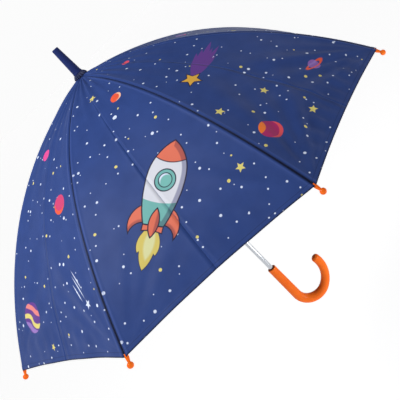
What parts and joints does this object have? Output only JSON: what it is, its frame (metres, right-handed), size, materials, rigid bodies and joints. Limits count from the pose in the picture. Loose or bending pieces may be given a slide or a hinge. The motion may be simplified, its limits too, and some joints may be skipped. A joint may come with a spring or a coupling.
{
  "type": "children's umbrella",
  "caption": "Open child's stick umbrella with a domed panelled canopy, hinged ribs and stretchers, a sliding runner and a hooked grip.",
  "frame": {"origin": "middle of the straight part of the grip, on the stick's axis, where a hand holds it", "axes": "+Z along the stick towards the ferrule, +X the way the hook points"},
  "size_m": [0.6596, 0.6596, 0.5905],
  "materials": {
    "canopy_fabric": "navy pongee with a printed space pattern",
    "orange_plastic": "glossy orange",
    "navy_plastic": "satin dark navy",
    "black_plastic": "satin black",
    "stick_chrome": "bright plated steel",
    "frame_steel": "zinc plated"
  },
  "bodies": {
    "stick": {"shaft": "stick_chrome", "ferrule": "navy_plastic", "crown_rosette": "canopy_fabric", "top_notch": "black_plastic", "top_notch_wire": "frame_steel", "runner_stop": "frame_steel", "grip": "orange_plastic"},
    "runner": {"runner_crown": "black_plastic", "runner_sleeve": "black_plastic"},
    "open_catch": {"open_catch": "frame_steel"},
    "shut_catch": {"shut_catch": "frame_steel"},
    "rib_1": {"rib_1": "frame_steel", "pivot_rivet_1": "frame_steel", "rib_tip_1": "orange_plastic", "canopy_gore_1": "canopy_fabric"},
    "stretcher_1": {"stretcher_1": "frame_steel"},
    "rib_2": {"rib_2": "frame_steel", "pivot_rivet_2": "frame_steel", "rib_tip_2": "orange_plastic", "canopy_gore_2": "canopy_fabric"},
    "stretcher_2": {"stretcher_2": "frame_steel"},
    "rib_3": {"rib_3": "frame_steel", "pivot_rivet_3": "frame_steel", "rib_tip_3": "orange_plastic", "canopy_gore_3": "canopy_fabric"},
    "stretcher_3": {"stretcher_3": "frame_steel"},
    "rib_4": {"rib_4": "frame_steel", "pivot_rivet_4": "frame_steel", "rib_tip_4": "orange_plastic", "canopy_gore_4": "canopy_fabric"},
    "stretcher_4": {"stretcher_4": "frame_steel"},
    "rib_5": {"rib_5": "frame_steel", "pivot_rivet_5": "frame_steel", "rib_tip_5": "orange_plastic", "canopy_gore_5": "canopy_fabric"},
    "stretcher_5": {"stretcher_5": "frame_steel"},
    "rib_6": {"rib_6": "frame_steel", "pivot_rivet_6": "frame_steel", "rib_tip_6": "orange_plastic", "canopy_gore_6": "canopy_fabric", "tie_strap": "canopy_fabric", "tie_snap": "navy_plastic"},
    "stretcher_6": {"stretcher_6": "frame_steel"},
    "rib_7": {"rib_7": "frame_steel", "pivot_rivet_7": "frame_steel", "rib_tip_7": "orange_plastic", "canopy_gore_7": "canopy_fabric"},
    "stretcher_7": {"stretcher_7": "frame_steel"},
    "rib_8": {"rib_8": "frame_steel", "pivot_rivet_8": "frame_steel", "rib_tip_8": "orange_plastic", "canopy_gore_8": "canopy_fabric"},
    "stretcher_8": {"stretcher_8": "frame_steel"}
  },
  "joints": [
    {"name": "runner_slide", "type": "slide", "parent": "stick", "child": "runner", "axis": [0, 0, -1], "range_m": [0, 0.1878]},
    {"name": "open_catch_press", "type": "slide", "parent": "stick", "child": "open_catch", "axis": [1, 0, 0], "range_m": [0, 0.0022], "stiffness_N_per_m": 1200},
    {"name": "shut_catch_press", "type": "slide", "parent": "stick", "child": "shut_catch", "axis": [1, 0, 0], "range_m": [0, 0.0022], "stiffness_N_per_m": 1200},
    {"name": "rib_hinge_1", "type": "hinge", "parent": "stick", "child": "rib_1", "pos_m": [-0.00785, -0.00325, 0.462], "axis": [0.3827, -0.9239, 0], "range_deg": [0, 55.8], "deforming": ["canopy_gore_1"]},
    {"name": "stretcher_pivot_1", "type": "hinge", "parent": "rib_1", "child": "stretcher_1", "pos_m": [-0.14968, -0.062, 0.40539], "axis": [-0.3827, 0.9239, 0], "range_deg": [0, 104.8]},
    {"name": "rib_hinge_2", "type": "hinge", "parent": "stick", "child": "rib_2", "pos_m": [-0.00325, -0.00785, 0.462], "axis": [0.9239, -0.3827, 0], "range_deg": [0, 55.8], "deforming": ["canopy_gore_2"]},
    {"name": "stretcher_pivot_2", "type": "hinge", "parent": "rib_2", "child": "stretcher_2", "pos_m": [-0.062, -0.14968, 0.40539], "axis": [-0.9239, 0.3827, 0], "range_deg": [0, 104.8]},
    {"name": "rib_hinge_3", "type": "hinge", "parent": "stick", "child": "rib_3", "pos_m": [0.00325, -0.00785, 0.462], "axis": [0.9239, 0.3827, 0], "range_deg": [0, 55.8], "deforming": ["canopy_gore_3"]},
    {"name": "stretcher_pivot_3", "type": "hinge", "parent": "rib_3", "child": "stretcher_3", "pos_m": [0.062, -0.14968, 0.40539], "axis": [-0.9239, -0.3827, 0], "range_deg": [0, 104.8]},
    {"name": "rib_hinge_4", "type": "hinge", "parent": "stick", "child": "rib_4", "pos_m": [0.00785, -0.00325, 0.462], "axis": [0.3827, 0.9239, 0], "range_deg": [0, 55.8], "deforming": ["canopy_gore_4"]},
    {"name": "stretcher_pivot_4", "type": "hinge", "parent": "rib_4", "child": "stretcher_4", "pos_m": [0.14968, -0.062, 0.40539], "axis": [-0.3827, -0.9239, 0], "range_deg": [0, 104.8]},
    {"name": "rib_hinge_5", "type": "hinge", "parent": "stick", "child": "rib_5", "pos_m": [0.00785, 0.00325, 0.462], "axis": [-0.3827, 0.9239, 0], "range_deg": [0, 55.8], "deforming": ["canopy_gore_5"]},
    {"name": "stretcher_pivot_5", "type": "hinge", "parent": "rib_5", "child": "stretcher_5", "pos_m": [0.14968, 0.062, 0.40539], "axis": [0.3827, -0.9239, 0], "range_deg": [0, 104.8]},
    {"name": "rib_hinge_6", "type": "hinge", "parent": "stick", "child": "rib_6", "pos_m": [0.00325, 0.00785, 0.462], "axis": [-0.9239, 0.3827, 0], "range_deg": [0, 55.8], "deforming": ["canopy_gore_6", "tie_strap", "tie_snap"]},
    {"name": "stretcher_pivot_6", "type": "hinge", "parent": "rib_6", "child": "stretcher_6", "pos_m": [0.062, 0.14968, 0.40539], "axis": [0.9239, -0.3827, 0], "range_deg": [0, 104.8]},
    {"name": "rib_hinge_7", "type": "hinge", "parent": "stick", "child": "rib_7", "pos_m": [-0.00325, 0.00785, 0.462], "axis": [-0.9239, -0.3827, 0], "range_deg": [0, 55.8], "deforming": ["canopy_gore_7"]},
    {"name": "stretcher_pivot_7", "type": "hinge", "parent": "rib_7", "child": "stretcher_7", "pos_m": [-0.062, 0.14968, 0.40539], "axis": [0.9239, 0.3827, 0], "range_deg": [0, 104.8]},
    {"name": "rib_hinge_8", "type": "hinge", "parent": "stick", "child": "rib_8", "pos_m": [-0.00785, 0.00325, 0.462], "axis": [-0.3827, -0.9239, 0], "range_deg": [0, 55.8], "deforming": ["canopy_gore_8"]},
    {"name": "stretcher_pivot_8", "type": "hinge", "parent": "rib_8", "child": "stretcher_8", "pos_m": [-0.14968, 0.062, 0.40539], "axis": [0.3827, 0.9239, 0], "range_deg": [0, 104.8]}
  ],
  "couplings": [
    {"joint": "rib_hinge_1", "follows": "runner_slide", "rad_per_m": 5.1853},
    {"joint": "stretcher_pivot_1", "follows": "runner_slide", "rad_per_m": 9.7366},
    {"joint": "rib_hinge_2", "follows": "runner_slide", "rad_per_m": 5.1853},
    {"joint": "stretcher_pivot_2", "follows": "runner_slide", "rad_per_m": 9.7366},
    {"joint": "rib_hinge_3", "follows": "runner_slide", "rad_per_m": 5.1853},
    {"joint": "stretcher_pivot_3", "follows": "runner_slide", "rad_per_m": 9.7366},
    {"joint": "rib_hinge_4", "follows": "runner_slide", "rad_per_m": 5.1853},
    {"joint": "stretcher_pivot_4", "follows": "runner_slide", "rad_per_m": 9.7366},
    {"joint": "rib_hinge_5", "follows": "runner_slide", "rad_per_m": 5.1853},
    {"joint": "stretcher_pivot_5", "follows": "runner_slide", "rad_per_m": 9.7366},
    {"joint": "rib_hinge_6", "follows": "runner_slide", "rad_per_m": 5.1853},
    {"joint": "stretcher_pivot_6", "follows": "runner_slide", "rad_per_m": 9.7366},
    {"joint": "rib_hinge_7", "follows": "runner_slide", "rad_per_m": 5.1853},
    {"joint": "stretcher_pivot_7", "follows": "runner_slide", "rad_per_m": 9.7366},
    {"joint": "rib_hinge_8", "follows": "runner_slide", "rad_per_m": 5.1853},
    {"joint": "stretcher_pivot_8", "follows": "runner_slide", "rad_per_m": 9.7366}
  ]
}
